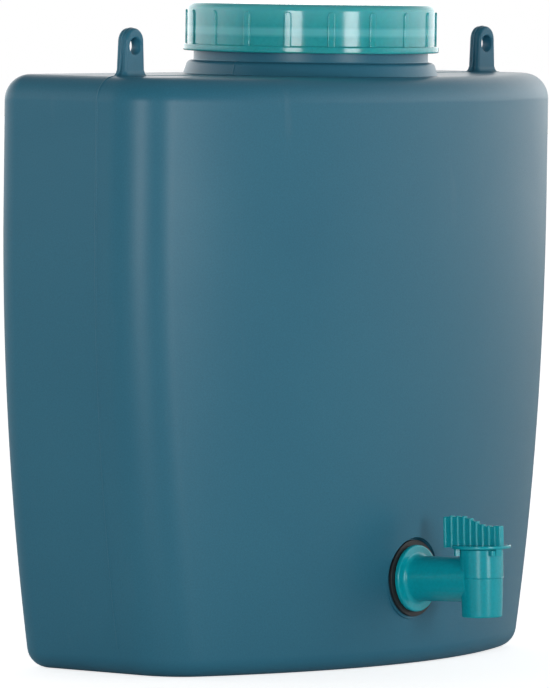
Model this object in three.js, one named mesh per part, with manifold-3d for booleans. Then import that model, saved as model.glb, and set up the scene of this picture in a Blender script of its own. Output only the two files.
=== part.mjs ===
// A ten litre wall and table water container: a blow-moulded tank with a flat back and a bowed front,
// a wide neck closed by a screw cap, two hanging ears, and a quarter-turn tap low on the front.
//
// Millimetres, +Z up. The origin is on the flat base, under the axis of the neck. +X runs to the right
// along the mould's parting plane as seen from the front, and the front with its tap faces -Y.
import * as THREE from "three";
import { mergeVertices } from "three/addons/utils/BufferGeometryUtils.js";
import Module from "manifold-3d";

const wasm = await Module();
wasm.setup();

const TAU = 2 * Math.PI;
const QUARTER = Math.PI / 2;
const FIT_GAP = 0.3; // between two pieces that rest on each other
const BURY = 0.6; // how far a joined feature reaches into what carries it
const EDGE_BREAK = 0.8; // the usual broken edge of a moulded piece
const FINE_BREAK = 0.4; // the broken edge of a small feature
const THROUGH = 20; // how far a cutting shape reaches past a wall that it opens

// ---------------------------------------------------------------- driving dimensions

const TANK = {
  height: 286,
  wall: 2.5,
  halfLength: 166, // at the widest, above the taper
  rearDepth: 64, // from the neck's axis to the flat back
  frontDepth: 74, // from the neck's axis to the crown of the bowed front
  frontRadius: 306,
  rearCorner: 14,
  frontCorner: 32,
  topEdge: 12.5,
  baseEdge: 9,
  taperTop: 226, // below this level the ends and the front draw in
  endTaper: 24,
  frontTaper: 11,
  seamProud: 0.3,
  seamWidth: 1.4,
};

// Sides of the turned shapes, from the largest to the smallest.
const SIDES = { neck: 48, seat: 40, plate: 36, barrel: 32, bore: 24, hexagon: 6 };

const EAR = {
  offset: 141, // from the neck's axis
  height: 22.9,
  width: 13.2,
  thickness: 6.4,
  draft: 1.1, // each side gets wider by this much towards the tank
  rootRadius: 2.4,
  holeRadius: 3.8,
  holeDrop: 8.6, // from the ear's top to the centre of its hole
};

const THREAD = { pitch: 6, turns: 1.5, rootWidth: 3.2, crestWidth: 1.4, fade: TAU / 18 };

const NECK = {
  ringRadius: 61.6, // the rounded shoulder ring that the neck rises from
  ringHeight: 6.2,
  ringEdge: 3.2,
  footDepth: 16, // how far the neck's solid reaches below the tank's top
  beadRadius: 57.2, // the plain band that shows under the cap
  beadHeight: 12.8,
  rootRadius: 54.6,
  crestRadius: 57,
  bore: 52.2,
  height: 30, // from the tank's top to the lip
};

const CAP = {
  height: 23.5,
  clearance: 11, // from the tank's top to the cap's lower edge
  skirtRadius: 60.6,
  ribProud: 0.8,
  flangeRadius: 62.5,
  flangeHeight: 3.3,
  topEdge: 3.4,
  wall: 2.1,
  topWall: 2.4,
  threadReach: 2.9,
  ribs: 18,
  ribWidth: 3.6,
  ribTopDrop: 3.6,
  restTurn: -3.3, // degrees; how far round the cap comes to rest when it is tight
};

const GASKET = { inner: 50.6, outer: 56.4, thickness: 1.5 };

const TAP = {
  height: 43, // of the tap's axis above the base
  tilt: THREE.MathUtils.degToRad(2), // the outlet end points a little upwards
  recessRadius: 19.1,
  recessDepth: 1,
  holeRadius: 10.9,
  padWall: 3.2,
  seatRim: 0.5, // the flat seat is this much wider than the gasket's recess
  flangeRadius: 16.2,
  flangeThickness: 2.2,
  barrelRadius: 11, // at the flange
  barrelEndRadius: 10.7, // at the upright barrel
  boreRadius: 6.6,
  reach: 38, // from the flange's face to the upright barrel's axis
  uprightTop: 15,
  uprightBottom: 17.9,
  uprightRadius: 10.6,
  outletRadius: 9.75,
  chamberRadius: 8.4,
  chamberFloor: -10.4,
  spoutBore: 7.1,
  seamHeight: 1.3,
  barrelFillet: 1.8,
  seamStep: 0.25, // the lower half of the upright barrel is this much slimmer at its mould seam
};

const TAIL = {
  radius: 9.6,
  crestRadius: 10.5,
  length: 19,
  lead: 2, // from the tail's end to the start of its thread
  pitch: 2.6,
  turns: 3.5,
  steps: 18, // sections in one turn
  rootWidth: 1.8,
  crestWidth: 0.6,
};

const SEALS = { flangeOuter: 18.6, flangeThickness: 1.6, innerOuter: 15.6, innerThickness: 1.6 };

const NUT = { acrossFlats: 28, height: 7, collarRadius: 17, collarHeight: 2 };

const KEY = {
  plugRadius: 8.28,
  plugBottom: -9.9,
  boreRadius: 5.6,
  portRadius: 5.2,
  snapRadius: 8.75,
  snapHeight: 1,
  snapLevel: 9.4,
  grooveRadius: 7,
  grooveHeight: 2.1,
  grooveLevels: { plug_o_ring_upper: 7.2, plug_o_ring_lower: -7.6 },
  plateRadius: 14.3,
  plateThickness: 1.6,
  finTankEnd: 21.7,
  finFreeEnd: 12.6,
  finTankHeight: 14,
  finFreeHeight: 9.6,
  finEdge: 0.6,
  finFallStart: 9.7, // the fin's top falls between these two distances from the axis
  finFallEnd: -4.4,
  finFallPull: 5, // how far each end of the fall stays level
  finCore: 1.8,
  finRibs: 10,
  ribPitch: 3.73,
  ribWidth: 1.7,
  lastRibExtra: 1.2,
  ribProud: 0.8,
};

const ORING = { section: 0.62, outer: 8.26 };

const STOP = { inner: 11, outer: 13.2, drop: 3, tabAngle: TAU / 24, lugAngle: TAU / 40 };

const COLOURS = { tank: 0x3f6b7c, cap: 0x4ba2a2, tap: 0x1f8f98, rubber: 0x17191b, seal: 0xd9dcd8 };

// ---------------------------------------------------------------- shape helpers

function toSolid(geometry) {
  const bare = geometry.index ? geometry.toNonIndexed() : geometry.clone();
  bare.deleteAttribute("normal");
  bare.deleteAttribute("uv");
  const merged = mergeVertices(bare, 1e-4);
  const mesh = new wasm.Mesh({
    numProp: 3,
    vertProperties: new Float32Array(merged.attributes.position.array),
    triVerts: new Uint32Array(merged.index.array),
  });
  return new wasm.Manifold(mesh);
}

function toGeometry(solid) {
  const mesh = solid.getMesh();
  const geometry = new THREE.BufferGeometry();
  geometry.setAttribute("position", new THREE.BufferAttribute(mesh.vertProperties, 3));
  geometry.setIndex(new THREE.BufferAttribute(mesh.triVerts, 1));
  geometry.computeVertexNormals();
  return geometry;
}

function joinAll(first, ...others) {
  return others.reduce((sum, next) => sum.add(next), first);
}

function cutAll(first, ...others) {
  return others.reduce((rest, next) => rest.subtract(next), first);
}

// A closed skin over sections of equal point count, with a fan over each end section.
function loft(sections) {
  const count = sections[0].length;
  const points = sections.flat();
  const faces = [];
  for (let level = 0; level + 1 < sections.length; level++) {
    for (let i = 0; i < count; i++) {
      const a = level * count + i;
      const b = level * count + ((i + 1) % count);
      faces.push(a, b, b + count, a, b + count, a + count);
    }
  }
  const middle = (section) => section.reduce((sum, p) => sum.add(p), new THREE.Vector3()).divideScalar(count);
  const low = points.push(middle(sections[0])) - 1;
  const high = points.push(middle(sections.at(-1))) - 1;
  const lastRing = (sections.length - 1) * count;
  for (let i = 0; i < count; i++) {
    const next = (i + 1) % count;
    faces.push(low, next, i, high, lastRing + i, lastRing + next);
  }
  const geometry = new THREE.BufferGeometry().setFromPoints(points);
  geometry.setIndex(faces);
  return toSolid(geometry);
}

// Revolves [radius, height] pairs about +Z. The profile runs upwards on its outside and ends on the axis
// or closes on itself.
function turned(profile, segments) {
  const points = profile.map(([radius, height]) => new THREE.Vector2(radius, height));
  return toSolid(new THREE.LatheGeometry(points, segments).rotateX(QUARTER));
}

function rod(radius, low, high, segments) {
  return turned([[0, low], [radius, low], [radius, high], [0, high]], segments);
}

function washer(inner, outer, low, high, segments) {
  return turned([[inner, low], [outer, low], [outer, high], [inner, high], [inner, low]], segments);
}

function block(width, depth, height, x, y, z) {
  return toSolid(new THREE.BoxGeometry(width, depth, height).translate(x, y, z));
}

// Points on a circular arc of the plane, both ends included.
function arc(centreX, centreY, radius, from, to, steps) {
  return Array.from({ length: steps + 1 }, (_, i) => {
    const angle = from + ((to - from) * i) / steps;
    return [centreX + radius * Math.cos(angle), centreY + radius * Math.sin(angle)];
  });
}

// A thread ridge with a trapezoid section, fading in and out at its ends. It stands between the radii
// carrier and crest, and its middle starts at the given level.
function threadRidge({ carrier, crest, level, pitch, turns, rootWidth, crestWidth, fade, steps }) {
  const outward = Math.sign(crest - carrier);
  const sweep = turns * TAU;
  const total = Math.round(turns * steps);
  const sections = Array.from({ length: total + 1 }, (_, i) => {
    const angle = (sweep * i) / total;
    const strength = Math.min(1, angle / fade + 0.05, (sweep - angle) / fade + 0.05);
    const tip = carrier + (crest - carrier) * strength;
    const middle = level + (pitch * angle) / TAU;
    const root = rootWidth / 2;
    const top = crestWidth / 2;
    const corners = [
      [carrier - outward * BURY, middle - root],
      [carrier, middle - root],
      [tip, middle - top],
      [tip, middle + top],
      [carrier, middle + root],
      [carrier - outward * BURY, middle + root],
    ];
    return corners.map(
      ([radius, height]) => new THREE.Vector3(radius * Math.cos(angle), radius * Math.sin(angle), height),
    );
  });
  return loft(outward > 0 ? sections.map((s) => s.toReversed()) : sections);
}

// Stands a shape that was drawn along +Z along -Y, the direction in which the tap leaves the tank.
function towardsFront(solid) {
  return solid.rotate([90, 0, 0]);
}

// ---------------------------------------------------------------- tank

// How far the taper has gone at a level: none at taperTop, all of it at the base.
function taperAt(z) {
  const share = Math.max(0, (TANK.taperTop - z) / TANK.taperTop);
  return share * share;
}

// The plan outline at a level, moved inwards by inset: flat back, straight ends and a bowed front.
function planOutline(z, inset) {
  const taper = taperAt(z);
  const length = TANK.halfLength - TANK.endTaper * taper - inset;
  const rear = TANK.rearDepth - inset;
  const bow = TANK.frontRadius - inset;
  const bowCentre = bow - (TANK.frontDepth - TANK.frontTaper * taper - inset);
  const rearCorner = Math.max(TANK.rearCorner - inset, 3);
  const frontCorner = Math.max(TANK.frontCorner - inset, 3);
  const cornerX = length - frontCorner;
  const cornerY = bowCentre - Math.sqrt((bow - frontCorner) ** 2 - cornerX ** 2);
  const lean = Math.atan2(cornerX, bowCentre - cornerY);
  return [
    ...arc(cornerX, cornerY, frontCorner, lean - QUARTER, 0, 8),
    ...arc(length - rearCorner, rear - rearCorner, rearCorner, 0, QUARTER, 5),
    ...arc(rearCorner - length, rear - rearCorner, rearCorner, QUARTER, 2 * QUARTER, 5),
    ...arc(-cornerX, cornerY, frontCorner, 2 * QUARTER, 3 * QUARTER - lean, 8),
    ...arc(0, bowCentre, bow, 3 * QUARTER - lean, 3 * QUARTER + lean, 14).slice(1, -1),
  ];
}

// The levels of one skin with the inset that its rounded base and top edges add there.
function skinLevels(inset) {
  const base = Math.max(TANK.baseEdge - inset, 2);
  const top = Math.max(TANK.topEdge - inset, 2);
  const low = inset;
  const high = TANK.height - inset;
  const round = (radius, share) => radius * (1 - Math.cos(share * QUARTER));
  const rise = (radius, share) => radius * Math.sin(share * QUARTER);
  const levels = [];
  for (let i = 3; i > 0; i--) levels.push([low + base - rise(base, i / 3), round(base, i / 3)]);
  for (let i = 0; i <= 5; i++) levels.push([low + base + ((TANK.taperTop - low - base) * i) / 5, 0]);
  for (let i = 0; i <= 4; i++) levels.push([high - top + rise(top, i / 4), round(top, i / 4)]);
  return levels;
}

function tankSkin(inset) {
  const sections = skinLevels(inset).map(([z, edge]) =>
    planOutline(z, inset + edge).map(([x, y]) => new THREE.Vector3(x, y, z)),
  );
  return loft(sections);
}

// The fine raised line that the two mould halves leave over the ends and the top.
function partingSeam() {
  const lowest = TANK.baseEdge + 6;
  const span = 2 * TANK.halfLength + 10;
  const slab = block(span, TANK.seamWidth, TANK.height, 0, 0, lowest + TANK.height / 2);
  return tankSkin(-TANK.seamProud).intersect(slab);
}

// A hanging ear in the parting plane: straight drafted sides, a half-round top and flared roots.
function ear(side) {
  const half = EAR.width / 2;
  const rootHalf = half + EAR.draft;
  const shoulder = EAR.height - half;
  const flare = EAR.rootRadius;
  const outline = new THREE.Shape();
  outline.moveTo(-rootHalf - flare, -BURY);
  outline.lineTo(rootHalf + flare, -BURY);
  outline.lineTo(rootHalf + flare, 0);
  outline.absarc(rootHalf + flare, flare, flare, -QUARTER, -2 * QUARTER, true);
  outline.lineTo(half, shoulder);
  outline.absarc(0, shoulder, half, 0, 2 * QUARTER, false);
  outline.lineTo(-rootHalf, flare);
  outline.absarc(-rootHalf - flare, flare, flare, 0, -QUARTER, true);
  outline.closePath();
  const hole = new THREE.Path();
  hole.absarc(0, EAR.height - EAR.holeDrop, EAR.holeRadius, 0, TAU, true);
  outline.holes.push(hole);
  const plate = new THREE.ExtrudeGeometry(outline, {
    depth: EAR.thickness,
    bevelEnabled: false,
    curveSegments: 10,
  });
  plate.translate(0, 0, -EAR.thickness / 2);
  plate.rotateX(QUARTER);
  return toSolid(plate).translate([side * EAR.offset, 0, TANK.height]);
}

const THREAD_STEPS = 36; // sections in one turn
const lip = TANK.height + NECK.height;
const threadStart = TANK.height + 18;

// The neck with its shoulder ring, the plain band under the cap and the outside thread.
function neck() {
  const top = TANK.height;
  const ringTop = top + NECK.ringHeight;
  const edge = NECK.ringEdge;
  const profile = [
    [0, top - NECK.footDepth],
    [NECK.ringRadius, top - NECK.footDepth],
    ...arc(NECK.ringRadius - edge, ringTop - edge, edge, 0, QUARTER, 3),
    [NECK.beadRadius, ringTop],
    [NECK.beadRadius, top + NECK.beadHeight],
    [NECK.rootRadius, top + NECK.beadHeight + FINE_BREAK],
    [NECK.rootRadius, lip - EDGE_BREAK],
    [NECK.rootRadius - EDGE_BREAK, lip],
    [0, lip],
  ];
  const ridge = threadRidge({
    ...THREAD,
    carrier: NECK.rootRadius,
    crest: NECK.crestRadius,
    level: threadStart,
    steps: THREAD_STEPS,
  });
  return turned(profile, SIDES.neck).add(ridge);
}

const frontAtTap = TANK.frontDepth - TANK.frontTaper * taperAt(TAP.height);
const recessFloor = frontAtTap - TAP.recessDepth;

// Moves a shape from the tap's own frame, where the recess floor is the plane Y = 0 and the tap leaves
// along -Y, to its place on the tank.
function atTap(solid) {
  const degrees = THREE.MathUtils.radToDeg(-TAP.tilt);
  return solid.rotate([degrees, 0, 0]).translate([0, -recessFloor, TAP.height]);
}

function tank() {
  const pad = atTap(towardsFront(rod(TAP.recessRadius + TAP.padWall, -TAP.padWall, THROUGH, SIDES.seat)));
  const seat = atTap(towardsFront(rod(TAP.recessRadius + TAP.seatRim, -TAP.padWall, 0, SIDES.seat)));
  const outside = joinAll(tankSkin(0), partingSeam(), neck(), ear(-1), ear(1), seat);
  const hollow = tankSkin(TANK.wall).subtract(pad);
  const mouth = rod(NECK.bore, TANK.height - THROUGH, lip + THROUGH, SIDES.neck);
  const recess = atTap(towardsFront(rod(TAP.recessRadius, 0, THROUGH, SIDES.neck)));
  const tapHole = atTap(towardsFront(rod(TAP.holeRadius, -THROUGH, THROUGH, SIDES.barrel)));
  return cutAll(outside, hollow, mouth, recess, tapHole);
}

// ---------------------------------------------------------------- screw cap

const capBottom = TANK.height + CAP.clearance;
const capTop = capBottom + CAP.height;
const capCeiling = capTop - CAP.topWall;

// A grip rib on the skirt: a rounded ridge with a half-round top that stands on the flange.
function capRib(index) {
  const low = capBottom + CAP.flangeHeight - BURY;
  const high = capTop - CAP.ribTopDrop;
  const half = CAP.ribWidth / 2;
  const outline = new THREE.Shape();
  outline.moveTo(-half, low);
  outline.lineTo(half, low);
  outline.lineTo(half, high - half);
  outline.absarc(0, high - half, half, 0, 2 * QUARTER, false);
  outline.closePath();
  const bar = new THREE.ExtrudeGeometry(outline, {
    depth: CAP.ribProud + 2 * BURY,
    bevelEnabled: false,
    curveSegments: 4,
  });
  bar.rotateX(QUARTER);
  bar.translate(0, -(CAP.skirtRadius - 2 * BURY), 0);
  return toSolid(bar).rotate([0, 0, (360 * index) / CAP.ribs + CAP.restTurn]);
}

function screwCap() {
  const skirt = CAP.skirtRadius;
  const inside = skirt - CAP.wall;
  const edge = CAP.topEdge;
  const profile = [
    [inside, capBottom],
    [CAP.flangeRadius, capBottom],
    [CAP.flangeRadius, capBottom + CAP.flangeHeight],
    [skirt, capBottom + CAP.flangeHeight],
    ...arc(skirt - edge, capTop - edge, edge, 0, QUARTER, 4),
    [0, capTop],
    [0, capCeiling],
    [inside, capCeiling],
    [inside, capBottom],
  ];
  const ridge = threadRidge({
    ...THREAD,
    carrier: inside,
    crest: inside - CAP.threadReach,
    level: threadStart - THREAD.pitch / 2 + FIT_GAP,
    steps: THREAD_STEPS,
  });
  const ribs = Array.from({ length: CAP.ribs }, (_, i) => capRib(i));
  return joinAll(turned(profile, SIDES.neck), ridge, ...ribs);
}

function capGasket() {
  return washer(GASKET.inner, GASKET.outer, lip + FIT_GAP, lip + FIT_GAP + GASKET.thickness, SIDES.seat);
}

// ---------------------------------------------------------------- tap, in its own frame

const flangeBack = SEALS.flangeThickness + 2 * FIT_GAP; // in front of the recess floor
const flangeFace = flangeBack + TAP.flangeThickness;
const uprightAxis = flangeFace + TAP.reach;

// Moves a shape that was drawn about +Z onto the upright barrel's axis.
function onUpright(solid) {
  return solid.translate([0, -uprightAxis, 0]);
}

// The flange with the level barrel, drawn along +Z.
function levelBarrel() {
  const fillet = TAP.barrelFillet;
  const barrelEnd = uprightAxis - TAP.uprightRadius + TAP.boreRadius;
  return turned(
    [
      [0, flangeBack],
      [TAP.flangeRadius, flangeBack],
      [TAP.flangeRadius, flangeFace - EDGE_BREAK],
      [TAP.flangeRadius - EDGE_BREAK, flangeFace],
      ...arc(TAP.barrelRadius + fillet, flangeFace + fillet, fillet, 3 * QUARTER, 2 * QUARTER, 2),
      [TAP.barrelEndRadius, barrelEnd],
      [0, barrelEnd],
    ],
    SIDES.barrel,
  );
}

function uprightBarrel() {
  return turned(
    [
      [0, -TAP.uprightBottom],
      [TAP.outletRadius - EDGE_BREAK, -TAP.uprightBottom],
      [TAP.outletRadius, -TAP.uprightBottom + EDGE_BREAK],
      [TAP.uprightRadius - TAP.seamStep, TAP.seamHeight - FINE_BREAK],
      [TAP.uprightRadius, TAP.seamHeight],
      [TAP.uprightRadius, TAP.uprightTop],
      [0, TAP.uprightTop],
    ],
    SIDES.barrel,
  );
}

// The space in which the plug turns, with a groove for its snap ridge.
function plugChamber() {
  const snapGroove = KEY.snapRadius + FIT_GAP;
  return turned(
    [
      [0, TAP.chamberFloor],
      [TAP.chamberRadius, TAP.chamberFloor],
      [TAP.chamberRadius, KEY.snapLevel - KEY.snapHeight],
      [snapGroove, KEY.snapLevel - KEY.snapHeight],
      [snapGroove, KEY.snapLevel + KEY.snapHeight],
      [TAP.chamberRadius, KEY.snapLevel + KEY.snapHeight],
      [TAP.chamberRadius, TAP.uprightTop + BURY],
      [0, TAP.uprightTop + BURY],
    ],
    SIDES.barrel,
  );
}

const tailEnd = flangeBack - TAIL.length;

// The tail's thread, or with a play added the groove that it runs in.
function tailThread(play) {
  return threadRidge({
    carrier: TAIL.radius,
    crest: TAIL.crestRadius + play,
    level: tailEnd + TAIL.lead,
    pitch: TAIL.pitch,
    turns: TAIL.turns,
    rootWidth: TAIL.rootWidth + 2 * play,
    crestWidth: TAIL.crestWidth + 2 * play,
    fade: THREAD.fade,
    steps: TAIL.steps,
  });
}

function tapBody() {
  const tail = rod(TAIL.radius, tailEnd, flangeBack + BURY, SIDES.bore);
  const spout = rod(TAP.spoutBore, -TAP.uprightBottom - BURY, TAP.chamberFloor + BURY, SIDES.bore);
  const bore = rod(TAP.boreRadius, tailEnd - BURY, uprightAxis, SIDES.bore);
  const level = joinAll(levelBarrel(), tail, tailThread(0));
  const outside = joinAll(towardsFront(level), onUpright(uprightBarrel()), stopLug());
  return cutAll(outside, towardsFront(bore), onUpright(plugChamber()), onUpright(spout));
}

// A sector of a ring about the upright axis, between two angles measured from the direction -Y.
function ringSector(inner, outer, low, high, from, to) {
  const outline = new THREE.Shape();
  outline.absarc(0, 0, outer, from - QUARTER, to - QUARTER, false);
  outline.absarc(0, 0, inner, to - QUARTER, from - QUARTER, true);
  outline.closePath();
  const sector = new THREE.ExtrudeGeometry(outline, {
    depth: high - low,
    bevelEnabled: false,
    curveSegments: 3,
  });
  return onUpright(toSolid(sector.translate(0, 0, low)));
}

const plateBottom = TAP.uprightTop + FIT_GAP;
const plateTop = plateBottom + KEY.plateThickness;
const stopAngle = -TAU / 16; // where the closed key's tab meets the lug
const stopPlay = FIT_GAP / STOP.inner;

// The lug on the upright barrel that the key's two tabs run against, one a quarter turn after the other.
function stopLug() {
  const reachIn = TAP.uprightRadius - BURY;
  const high = TAP.uprightTop - FINE_BREAK;
  return ringSector(reachIn, STOP.outer, TAP.uprightTop - STOP.drop, high, stopAngle - STOP.lugAngle, stopAngle);
}

function stopTabs() {
  const low = TAP.uprightTop - STOP.drop;
  const closed = stopAngle + stopPlay;
  const open = stopAngle - STOP.lugAngle - QUARTER - stopPlay;
  return joinAll(
    ringSector(STOP.inner, STOP.outer, low, plateBottom + BURY, closed, closed + STOP.tabAngle),
    ringSector(STOP.inner, STOP.outer, low, plateBottom + BURY, open - STOP.tabAngle, open),
  );
}

// The fin's outline over its length: high over the barrel, then an S-curve down to the free end.
function finShape() {
  const outline = new THREE.Shape();
  const low = plateBottom;
  const tall = plateTop + KEY.finTankHeight;
  const short = plateTop + KEY.finFreeHeight;
  outline.moveTo(-KEY.finFreeEnd, low);
  outline.lineTo(KEY.finTankEnd, low);
  outline.lineTo(KEY.finTankEnd, tall - KEY.finEdge);
  outline.lineTo(KEY.finTankEnd - KEY.finEdge, tall);
  outline.lineTo(KEY.finFallStart, tall);
  outline.bezierCurveTo(
    KEY.finFallStart - KEY.finFallPull,
    tall,
    KEY.finFallEnd + KEY.finFallPull,
    short,
    KEY.finFallEnd,
    short,
  );
  outline.lineTo(-KEY.finFreeEnd, short);
  outline.closePath();
  return outline;
}

// Extrudes the fin's outline to a thickness; it stands over the upright axis and points to the tank.
function finPlate(thickness) {
  const plate = new THREE.ExtrudeGeometry(finShape(), {
    depth: thickness,
    bevelEnabled: false,
    curveSegments: 8,
  });
  plate.translate(0, 0, -thickness / 2);
  plate.rotateX(QUARTER);
  plate.rotateZ(QUARTER);
  return toSolid(plate);
}

// The grip ribs are the full-thickness fin kept only in narrow slices.
function finRibs() {
  const full = finPlate(KEY.finCore + 2 * KEY.ribProud);
  const slices = Array.from({ length: KEY.finRibs }, (_, i) => {
    const last = i === KEY.finRibs - 1;
    const extra = last ? KEY.lastRibExtra : 0;
    const y = KEY.finTankEnd - (KEY.ribWidth + extra) / 2 - i * KEY.ribPitch;
    return block(THROUGH, KEY.ribWidth + extra, 2 * KEY.finTankEnd, 0, y, plateTop);
  });
  return full.intersect(joinAll(...slices));
}

function tapKey() {
  const groove = KEY.grooveHeight / 2;
  const grooves = Object.values(KEY.grooveLevels)
    .sort((a, b) => a - b)
    .flatMap((level) => [
      [KEY.plugRadius, level - groove],
      [KEY.grooveRadius, level - groove],
      [KEY.grooveRadius, level + groove],
      [KEY.plugRadius, level + groove],
    ]);
  const snapFoot = KEY.snapHeight - FIT_GAP;
  const plug = turned(
    [
      [0, KEY.plugBottom],
      [KEY.plugRadius - FINE_BREAK, KEY.plugBottom],
      [KEY.plugRadius, KEY.plugBottom + FINE_BREAK],
      ...grooves,
      [KEY.plugRadius, KEY.snapLevel - snapFoot],
      [KEY.snapRadius, KEY.snapLevel],
      [KEY.plugRadius, KEY.snapLevel + snapFoot],
      [KEY.plugRadius, plateBottom + BURY],
      [0, plateBottom + BURY],
    ],
    SIDES.barrel,
  );
  const plate = turned(
    [
      [0, plateBottom],
      [KEY.plateRadius, plateBottom],
      [KEY.plateRadius, plateTop - FINE_BREAK],
      [KEY.plateRadius - FINE_BREAK, plateTop],
      [0, plateTop],
    ],
    SIDES.plate,
  );
  const bore = rod(KEY.boreRadius, KEY.plugBottom - BURY, KEY.portRadius, SIDES.bore);
  const port = towardsFront(rod(KEY.portRadius, 0, THROUGH, SIDES.bore)).rotate([0, 0, 90]);
  const body = joinAll(plug, plate, finPlate(KEY.finCore), finRibs());
  return onUpright(cutAll(body, bore, port)).add(stopTabs());
}

// An O-ring in its groove on the plug.
function plugRing(level) {
  const middle = ORING.outer - ORING.section;
  const section = arc(middle, level, ORING.section, 0, TAU, 6);
  section[section.length - 1] = section[0];
  return onUpright(turned(section, SIDES.barrel));
}

function flangeGasket() {
  return towardsFront(
    washer(TAP.holeRadius, SEALS.flangeOuter, FIT_GAP, FIT_GAP + SEALS.flangeThickness, SIDES.plate),
  );
}

const innerFace = TAP.padWall + FIT_GAP; // behind the recess floor, inside the tank
const nutSeat = innerFace + SEALS.innerThickness + FIT_GAP;

function innerWasher() {
  return towardsFront(
    washer(TAP.holeRadius, SEALS.innerOuter, -innerFace - SEALS.innerThickness, -innerFace, SIDES.barrel),
  );
}

// A collared hexagon nut whose bore follows the tail's thread with a small clearance.
function backNut() {
  const corner = NUT.acrossFlats / 2 / Math.cos(TAU / 12);
  const seat = -nutSeat;
  const hexagon = rod(corner, seat - NUT.height, seat, SIDES.hexagon);
  const collar = rod(NUT.collarRadius, seat - NUT.collarHeight, seat, SIDES.barrel);
  const bore = rod(TAIL.radius + FIT_GAP, seat - NUT.height - BURY, seat + BURY, SIDES.bore);
  return towardsFront(cutAll(hexagon.add(collar), bore, tailThread(FIT_GAP)));
}

// ---------------------------------------------------------------- assembly

function material(name, colour, roughness, extra = {}) {
  return new THREE.MeshStandardMaterial({ name, color: colour, roughness, metalness: 0, ...extra });
}

function piece(name, solid, finish) {
  const mesh = new THREE.Mesh(toGeometry(solid), finish);
  mesh.name = name;
  return mesh;
}

const container = new THREE.Group();
container.add(
  piece("tank", tank(), material("tank_plastic", COLOURS.tank, 0.5)),
  piece("screw_cap", screwCap(), material("cap_plastic", COLOURS.cap, 0.2, { transparent: true, opacity: 0.85 })),
  piece("cap_gasket", capGasket(), material("cap_seal", COLOURS.seal, 0.7)),
);

const tap = new THREE.Group();
tap.position.set(0, -recessFloor, TAP.height);
tap.rotation.x = -TAP.tilt;
tap.add(
  piece("tap_body", tapBody(), material("tap_plastic", COLOURS.tap, 0.3)),
  piece("tap_flange_gasket", flangeGasket(), material("flange_rubber", COLOURS.rubber, 0.8)),
  piece("tap_inner_washer", innerWasher(), material("washer_rubber", COLOURS.rubber, 0.8)),
  piece("tap_back_nut", backNut(), material("nut_plastic", COLOURS.tap, 0.35)),
  piece("tap_key", tapKey(), material("key_plastic", COLOURS.tap, 0.3)),
);
for (const [name, level] of Object.entries(KEY.grooveLevels)) {
  tap.add(piece(name, plugRing(level), material(`${name}_rubber`, COLOURS.rubber, 0.6)));
}
container.add(tap);

export default container;
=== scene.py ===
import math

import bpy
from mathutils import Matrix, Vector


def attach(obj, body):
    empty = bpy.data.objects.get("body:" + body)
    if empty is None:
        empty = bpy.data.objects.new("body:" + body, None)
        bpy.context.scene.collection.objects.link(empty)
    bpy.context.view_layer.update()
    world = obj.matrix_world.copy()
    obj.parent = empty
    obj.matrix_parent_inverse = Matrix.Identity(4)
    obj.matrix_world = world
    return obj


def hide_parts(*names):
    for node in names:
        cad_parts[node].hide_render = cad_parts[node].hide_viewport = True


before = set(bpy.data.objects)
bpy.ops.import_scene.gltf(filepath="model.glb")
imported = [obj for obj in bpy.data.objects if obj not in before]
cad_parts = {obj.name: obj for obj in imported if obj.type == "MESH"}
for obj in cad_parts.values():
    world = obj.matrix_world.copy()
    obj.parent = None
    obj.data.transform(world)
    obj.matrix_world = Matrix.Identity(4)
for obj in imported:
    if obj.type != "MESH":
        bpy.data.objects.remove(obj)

# %% [markdown]
# # A ten litre water container with a tap
#
# The real object is a blow-moulded tank with a flat back, a bowed front, a wide neck with a screw cap,
# two hanging ears and a quarter-turn tap. The functional model is already loaded above: it says where
# every piece sits and how the cap and the tap's key move. This lesson builds the fine surfaces round it.
#
# Everything below is drawn in millimetres, because the real thing was designed in millimetres, and is
# turned into Blender's metres in one place, where a shape becomes an object.

MM = 0.001
QUARTER = math.pi / 2
TURN = 2 * math.pi
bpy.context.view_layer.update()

# %% [markdown]
# ## The camera
#
# A product picture of a tall container is taken from far away with a long lens, so its upright edges
# stay nearly parallel. The camera stands to the left of the front, a little above the neck, looks
# slightly down and is rolled by less than a degree. A camera could be aimed with a Track To constraint,
# but three plain angles are easier to read and stay put when the model moves.

# %% Camera
VIEW_DISTANCE = 4.2421
VIEW_SIDE_DEG = 52.57
VIEW_HEIGHT = 0.3701
AIM_HEADING_DEG = 37.64
AIM_DOWN_DEG = 2.92
ROLL_DEG = 0.78
LENS_MM = 454.4


def make_camera():
    side = math.radians(VIEW_SIDE_DEG)
    heading = math.radians(AIM_HEADING_DEG)
    down = math.radians(AIM_DOWN_DEG)
    roll = math.radians(ROLL_DEG)
    plan = math.cos(down)
    forward = Vector((math.cos(heading) * plan, math.sin(heading) * plan, -math.sin(down)))
    level = Vector((math.sin(heading), -math.cos(heading), 0))
    upright = level.cross(forward)
    across = level * math.cos(roll) + upright * math.sin(roll)
    above = upright * math.cos(roll) - level * math.sin(roll)
    camera = bpy.data.objects.new("camera", bpy.data.cameras.new("camera"))
    camera.data.lens = LENS_MM
    camera.data.sensor_width = 36
    axes = Matrix((across, above, -forward)).transposed()
    place = Vector((-math.sin(side) * VIEW_DISTANCE, -math.cos(side) * VIEW_DISTANCE, VIEW_HEIGHT))
    camera.matrix_world = Matrix.Translation(place) @ axes.to_4x4()
    bpy.context.scene.collection.objects.link(camera)
    bpy.context.scene.camera = camera
    return camera


camera = make_camera()
print("camera at", [round(v, 3) for v in camera.matrix_world.translation])

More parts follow.
